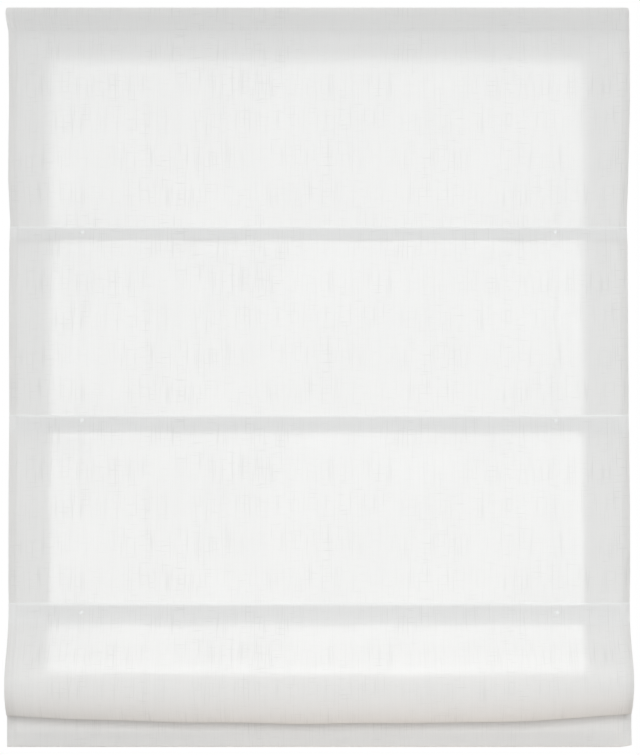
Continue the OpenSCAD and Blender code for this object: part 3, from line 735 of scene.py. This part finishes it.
def make_fold():
    """The lowest panel: a fold that hangs forward, the crest over the fourth batten, and the hemmed skirt."""
    seam = seams[2]
    start = np.array([FACE_Y, seam])
    crest_front = CREST - [CREST_R, 0]
    front_drop, under_drop = start[1] - FOLD_FRONT[1], FOLD_FRONT[1] - FOLD_UNDER[1]
    back_rise = CREST[1] + CREST_R - FOLD_UNDER[1]
    hem_r = (HEM_BACK - skirt_y) / 2
    hem_z = bottom_edge + hem_r + CLOTH_T / 2
    hem_top = bottom_edge + BOTTOM_HEM

    face = bezier(start, start - [0, FACE_HANDLES[0] * front_drop],
                  FOLD_FRONT + [0, FACE_HANDLES[1] * front_drop], FOLD_FRONT, FACE_ROWS)
    drop = start[1] - face[:, 1]
    face[:, 0] -= ledge(drop, FOLD_LEDGE_END)
    under = bezier(FOLD_FRONT, FOLD_FRONT - [0, UNDER_HANDLE * under_drop],
                   FOLD_UNDER - UNDER_HANDLE * under_drop * FOLD_SLANT, FOLD_UNDER, UNDER_ROWS)[1:]
    rise = bezier(FOLD_UNDER, FOLD_UNDER + BEND_HANDLE * FOLD_SLANT,
                  crest_front - [0, RISE_HANDLE * back_rise], crest_front, RISE_ROWS)[1:]
    over = arc(CREST, CREST_R, 180, -180, CREST_ROWS)[1:]
    skirt = upright(skirt_y, np.linspace(CREST[1], hem_z, SKIRT_ROWS + 1)[1:])
    turn = arc(np.array([skirt_y + hem_r, hem_z]), hem_r, 180, 180, TURN_ROWS)[1:]
    hem = upright(HEM_BACK, np.linspace(hem_z, hem_top, HEM_ROWS + 1)[1:])
    sections = (face, under, rise, over, skirt, turn, hem)
    path = np.concatenate(sections)
    starts = np.cumsum([len(part) for part in sections])
    from_under, from_rise, from_over, from_skirt, from_turn = starts[:5]

    to_bend, to_rise, to_crest = SAG_STOPS
    share = np.zeros(len(path))
    share[:from_over] = np.concatenate([
        np.linspace(0, to_bend, len(face)), np.linspace(to_bend, to_rise, len(under) + 1)[1:],
        np.linspace(to_rise, to_crest, len(rise) + 1)[1:]]) / to_crest
    sag = np.sin(math.pi * share ** SAG_SKEW)[:, None] ** 2
    row = np.arange(len(path))
    free = np.where(row < from_over, smooth_step(seam - path[:, 1], 0, FOLD_EASE), SKIRT_FREE)
    centre, flat = hang(path, free)
    x = columns_x[None, :]
    outward = np.abs(x / half_w)
    centre[..., 2] += np.where(x < 0, *FOLD_SAG) * outward ** np.where(x < 0, *SAG_POWER) * sag
    centre[..., 2] += waves(x, 0 * x, *FOLD_EDGE_WAVES) * sag
    spread = smooth_step(row, from_rise, from_over)[:, None]
    centre[..., 0] += spread * np.where(x < 0, -SKIRT_OUT[0], SKIRT_OUT[1]) * outward ** 3
    below = smooth_step(CREST[1] - centre[..., 2], *CURL_DEPTHS) * (row >= from_over)[:, None]
    corner = smooth_step(x, bar_end, 2 * half_w - bar_end)
    centre[..., 2] += CORNER_CURL * below * corner
    centre[..., 1] -= CURL_FORWARD * CORNER_CURL * below * corner

    shell = Shell()
    front, out = add_sheet(shell, centre, flat, CLOTH_T, int(np.sum(drop < bands[2])))
    turn_side_hems(shell, centre[:from_turn], flat[:from_turn], out[:from_turn])
    sew_tacks(shell, front[:from_under], seam, TACK_DROP[2])
    sew_seam(shell, front, out, drop)
    hem_row = from_skirt + nearest(skirt[:, 1], hem_top - STITCH_DROP)
    add_stitches(shell, front[hem_row], out[hem_row])
    piece = shell.make("cloth_fold", CLOTH, THREAD, TACK, BACKED_PAINTED_LIGHT)
    return piece


def pocket_path(base, axis, rise):
    """Section of a pocket: down the front web, round the batten and up the back web. rise is 1 where the
    pocket hangs below its seam and -1 where it stands above."""
    web_rows, loop_rows, side_rows, back_rows = POCKET_ROWS
    angle = np.radians(np.linspace(180, 360, loop_rows))
    loop = axis + POCKET_R * np.stack([np.cos(angle), rise * np.sin(angle)], 1)
    seam_front, seam_back = base - [POCKET_WEB, 0], base + [POCKET_WEB, 0]
    neck = np.array([base[0] + POCKET_WEB, axis[1] + rise * POCKET_NECK * POCKET_R])
    front = np.linspace(seam_front, loop[0], web_rows)[:-1]
    handle = np.array([0, rise * POCKET_R])
    side = bezier(loop[-1], loop[-1] + handle, neck - handle, neck, side_rows)[1:]
    back = np.linspace(neck, seam_back, back_rows)[1:]
    return np.concatenate([front, loop, side, back])


def make_pocket(index, body):
    """A sleeve of cloth round one batten, sewn to the cloth along its edge. The fourth stands above its
    seam."""
    low, high = pockets[index - 1]
    standing = index == 4
    axis = np.array([battens[index - 1].y, battens[index - 1].z])
    rise = -1 if standing else 1
    hanging_base = np.array([low.y + POCKET_IN[0], high.z - POCKET_IN[1]])
    path = pocket_path(np.array([CREST[0], low.z]) if standing else hanging_base, axis, rise)
    x = np.linspace(low.x, high.x, POCKET_COLUMNS)[None, :]
    steps = lengths_along(path)
    beyond = np.clip(rise * (axis[1] - path[:, 1:2]) / POCKET_R, 0, 1)
    slack = POCKET_SLACK + waves(x, 0 * x, SLACK_SEED + index, SLACK_LONG, POCKET_SLACK)
    away_from_ring = 1 - np.exp(-((np.abs(x) - cord_x) / RING_HOLD) ** 2)
    slack = np.clip(slack, 0, POCKET_SLACK_MOST) * away_from_ring
    if standing:
        slack = slack + np.interp(x, LOOSE_AT, LOOSE_EDGE)
    z = path[:, 1:2] - rise * slack * beyond
    creases = waves(x, path[:, 1:2], CREASE_SEED + index, CREASE_LONG, CREASE_HEIGHT)
    y = path[:, :1] + creases * beyond
    centre = np.stack(np.broadcast_arrays(x, y, z), -1)
    flat = np.stack(np.broadcast_arrays(x, steps[:, None]), -1)
    shell = Shell()
    front, out = add_sheet(shell, centre, flat, POCKET_T)
    add_stitches(shell, front[-2], out[-2])
    piece = shell.make(f"pocket_{index}", POCKET, THREAD)
    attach(piece, body)
    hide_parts(f"batten_pocket_{index}")


def make_ring_threads(index, body):
    """The thread that binds each cord ring to its pocket."""
    shell = Shell()
    ring = rings[index - 1]
    wire_y = ring.y - RING_WIRE_R
    angle = np.linspace(0, 2 * math.pi, BIND_POINTS)
    for side in (-1, 1):
        for i in range(BIND_TURNS):
            along = (i - (BIND_TURNS - 1) / 2) * BIND_PITCH + BIND_SWAY * np.sin(angle / 2)
            loop = np.stack([side * cord_x + along, wire_y - BIND_IN + BIND_DEPTH * np.cos(angle),
                             ring.z + BIND_HEIGHT * np.sin(angle)], 1)
            add_tube(shell, loop, BIND_R, BIND_SIDES)
    piece = shell.make(f"ring_threads_{index}", THREAD)
    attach(piece, body)


def make_tape(node, seed):
    """A fastening tape with rounded edges and an uneven pile."""
    low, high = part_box(node)
    x = np.linspace(low.x, high.x, TAPE_COLUMNS)[None, :]
    z = np.linspace(high.z - TAPE_EDGE, low.z + TAPE_EDGE, TAPE_ROWS)[:, None]
    y = (low.y + high.y) / 2 + waves(x, z, seed, *TAPE_WAVES)
    centre = np.stack(np.broadcast_arrays(x, y, z), -1)
    flat = np.stack(np.broadcast_arrays(x, -z), -1)
    shell = Shell()
    add_sheet(shell, centre, flat, (high.y - low.y) - TAPE_PILE)
    piece = shell.make(f"{node}_pile", PILE)
    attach(piece, "rail")
    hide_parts(node)


# Lift cords

def fold_with(piece, body):
    """A panel or a length of cord, hung from the body above it, with its own copy of its mesh."""
    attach(piece, body)
    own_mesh(piece)


def cord_piece(name, line, node):
    """A length of cord along a line of points, in place of part of the frame's cord."""
    shell = Shell()
    add_tube(shell, line, CORD_R, CORD_SIDES)
    piece = shell.make(name, CORD)
    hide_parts(node)
    return piece


def straight(side, high, low):
    """Points down a straight length of the left (-1) or right (1) cord."""
    count = max(3, round((high - low) / CORD_STEP))
    return [(side * cord_x, cord_y, z) for z in np.linspace(high, low, count)]


def make_cord(side, word):
    """One lift cord: its turns on the spool, then a length between each ring and the next. The turns that
    ride the spool lie one turn's width further along, clear of the turn that leaves it."""
    node = f"lift_cord_{word}"
    angle = np.linspace(0, WRAPS * 2 * math.pi, WRAPS * WRAP_STEPS + 1)
    turns = np.stack([side * (cord_x + angle / (2 * math.pi) * CORD_PITCH),
                      shaft.y - wind_r * np.cos(angle), shaft.z + wind_r * np.sin(angle)], 1)
    riding = turns[WRAP_STEPS:] + [side * CORD_PITCH, 0, 0]
    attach(cord_piece(f"cord_turns_{word}", riding, node), "drive")
    leaving = np.concatenate([straight(side, panel_top, shaft.z)[:-1], turns[:WRAP_STEPS + 1]])
    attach(cord_piece(f"cord_outlet_{word}", leaving, node), "rail")
    held_at = [panel_top] + [ring.z for ring in rings[:3]]
    for i, (body, joint, travel) in enumerate(LIFTS):
        high, low = held_at[i:i + 2]
        piece = cord_piece(f"cord_{word}_{i + 1}", straight(side, high, low), node)
        fold_with(piece, body)
    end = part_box("cord_stops")[1].z - STOP_COVER
    piece = cord_piece(f"cord_{word}_4", straight(side, rings[2].z, end), node)
    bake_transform(piece)


# The whole blind

header = make_header()
panels = [make_panel("cloth_panel_1", panel_top, seams[0], None),
          make_panel("cloth_panel_2", seams[0], seams[1], TACK_DROP[0], bands[0]),
          make_panel("cloth_panel_3", seams[1], seams[2], TACK_DROP[1], bands[1])]
fold = make_fold()
for piece in (header, *panels, fold):
    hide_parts("blind_fabric")
for panel, lift, top, low in zip(panels, LIFTS, [panel_top] + seams, seams):
    body, joint, travel = lift
    fold_with(panel, body)
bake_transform(fold)
for index, body in enumerate(("top_batten", "middle_batten", "lower_batten", "bottom"), 1):
    make_pocket(index, body)
    make_ring_threads(index, body)
make_tape("hook_tape", 50)
make_tape("loop_tape", 51)
make_cord(-1, "left")
make_cord(1, "right")

for part in frame["record"]["subparts"]:
    finish = FINISHES.get(part["material_slot"])
    if finish:
        mesh = frame["nodes"][part["node"]].data
        mesh.materials.clear()
        mesh.materials.append(finish)


# Floor and light

FLOOR_Z = -2.3
FLOOR_POINTS = 12
WINDOW_Y = 40 * MM
DAYLIGHT = (0.91, 0.96, 1)


def make_floor():
    """A pale floor under the blind, which belongs to the stage."""
    n = FLOOR_POINTS
    across, away = np.linspace(-1.8, 1.8, n), np.linspace(-2.2, 1.6, n)
    grid = np.stack(np.meshgrid(across, away, [FLOOR_Z], indexing="ij"), -1).reshape(n, n, 3)
    faces = [(i * n + j, (i + 1) * n + j, (i + 1) * n + j + 1, i * n + j + 1)
             for i in range(n - 1) for j in range(n - 1)]
    shell = Shell()
    shell.add(grid, faces, grid[..., :2])
    pale = coated("pale_floor", (0.74, 0.725, 0.705), (0.71, 0.695, 0.675), 0.7, 60, 0.1 * MM)
    floor = shell.make("floor", pale)


def make_world(below, level, above):
    """White where the camera sees it; as light, a dome that is brighter above than below."""
    world = bpy.data.worlds.new("studio")
    world.use_nodes = True
    tree = world.node_tree
    tree.nodes.clear()
    seen, felt = (tree.nodes.new("ShaderNodeBackground") for _ in range(2))
    seen.inputs["Color"].default_value = (1, 1, 1, 1)
    place = tree.nodes.new("ShaderNodeTexCoord")
    height = tree.nodes.new("ShaderNodeSeparateXYZ")
    tree.links.new(place.outputs["Generated"], height.inputs[0])
    dome = tree.nodes.new("ShaderNodeMapRange")
    dome.inputs["From Min"].default_value, dome.inputs["From Max"].default_value = -1, 1
    tree.links.new(height.outputs["Z"], dome.inputs["Value"])
    shades = tree.nodes.new("ShaderNodeValToRGB")
    shades.color_ramp.elements.new(0.5)
    for stop, at, grey in zip(shades.color_ramp.elements, (0.44, 0.5, 1.0), (below, level, above)):
        stop.position, stop.color = at, (grey, grey, grey, 1)
    tree.links.new(dome.outputs["Result"], shades.inputs[0])
    tree.links.new(shades.outputs["Color"], felt.inputs["Color"])
    path = tree.nodes.new("ShaderNodeLightPath")
    either = tree.nodes.new("ShaderNodeMixShader")
    out = tree.nodes.new("ShaderNodeOutputWorld")
    tree.links.new(path.outputs["Is Camera Ray"], either.inputs[0])
    tree.links.new(felt.outputs[0], either.inputs[1])
    tree.links.new(seen.outputs[0], either.inputs[2])
    tree.links.new(either.outputs[0], out.inputs["Surface"])
    bpy.context.scene.world = world


def make_area(name, place, aim, size, watts, colour, spread=180):
    """A soft rectangular lamp that neither the camera nor a reflection shows."""
    data = bpy.data.lights.new(name, "AREA")
    data.shape = "RECTANGLE"
    data.size, data.size_y = size
    data.energy = watts
    data.color = colour
    data.spread = math.radians(spread)
    lamp = bpy.data.objects.new(name, data)
    lamp.location = place
    lamp.rotation_euler = (Vector(aim) - Vector(place)).to_track_quat("-Z", "Y").to_euler()
    lamp.visible_camera = False
    lamp.visible_glossy = False
    bpy.context.scene.collection.objects.link(lamp)


def make_window(name, across, height, watts, upward, spread):
    """Daylight from just behind the blind, nearly straight on. upward is how far it climbs in a metre, and
    spread is the angle of its beam."""
    x, z = sum(across) / 2, sum(height) / 2
    size = (across[1] - across[0], height[1] - height[0])
    make_area(name, place=(x, WINDOW_Y, z), aim=(x, WINDOW_Y - 1, z + upward), size=size, watts=watts,
              colour=DAYLIGHT, spread=spread)


make_floor()
make_world(below=0.05, level=0.53, above=0.62)
make_area("soft_box", place=(0.18, -3.3, -0.16), aim=(0, FACE_Y, -0.5), size=(2.6, 1.5), watts=79,
          colour=(0.955, 0.985, 1))
make_area("floor_bounce", place=(0.16, -0.085, -1.75), aim=(0.16, -0.085, -1.1), size=(0.9, 0.1), watts=0.85,
          colour=(1, 0.62, 0.36))
make_window("window", across=(-0.432, 0.426), height=(-1.086, -0.082), watts=1.4, upward=0.14, spread=17)
make_window("window_haze", across=(-0.497, 0.497), height=(-1.07, -0.004), watts=0.38, upward=0, spread=24)
bpy.context.scene.view_settings.view_transform = "Standard"
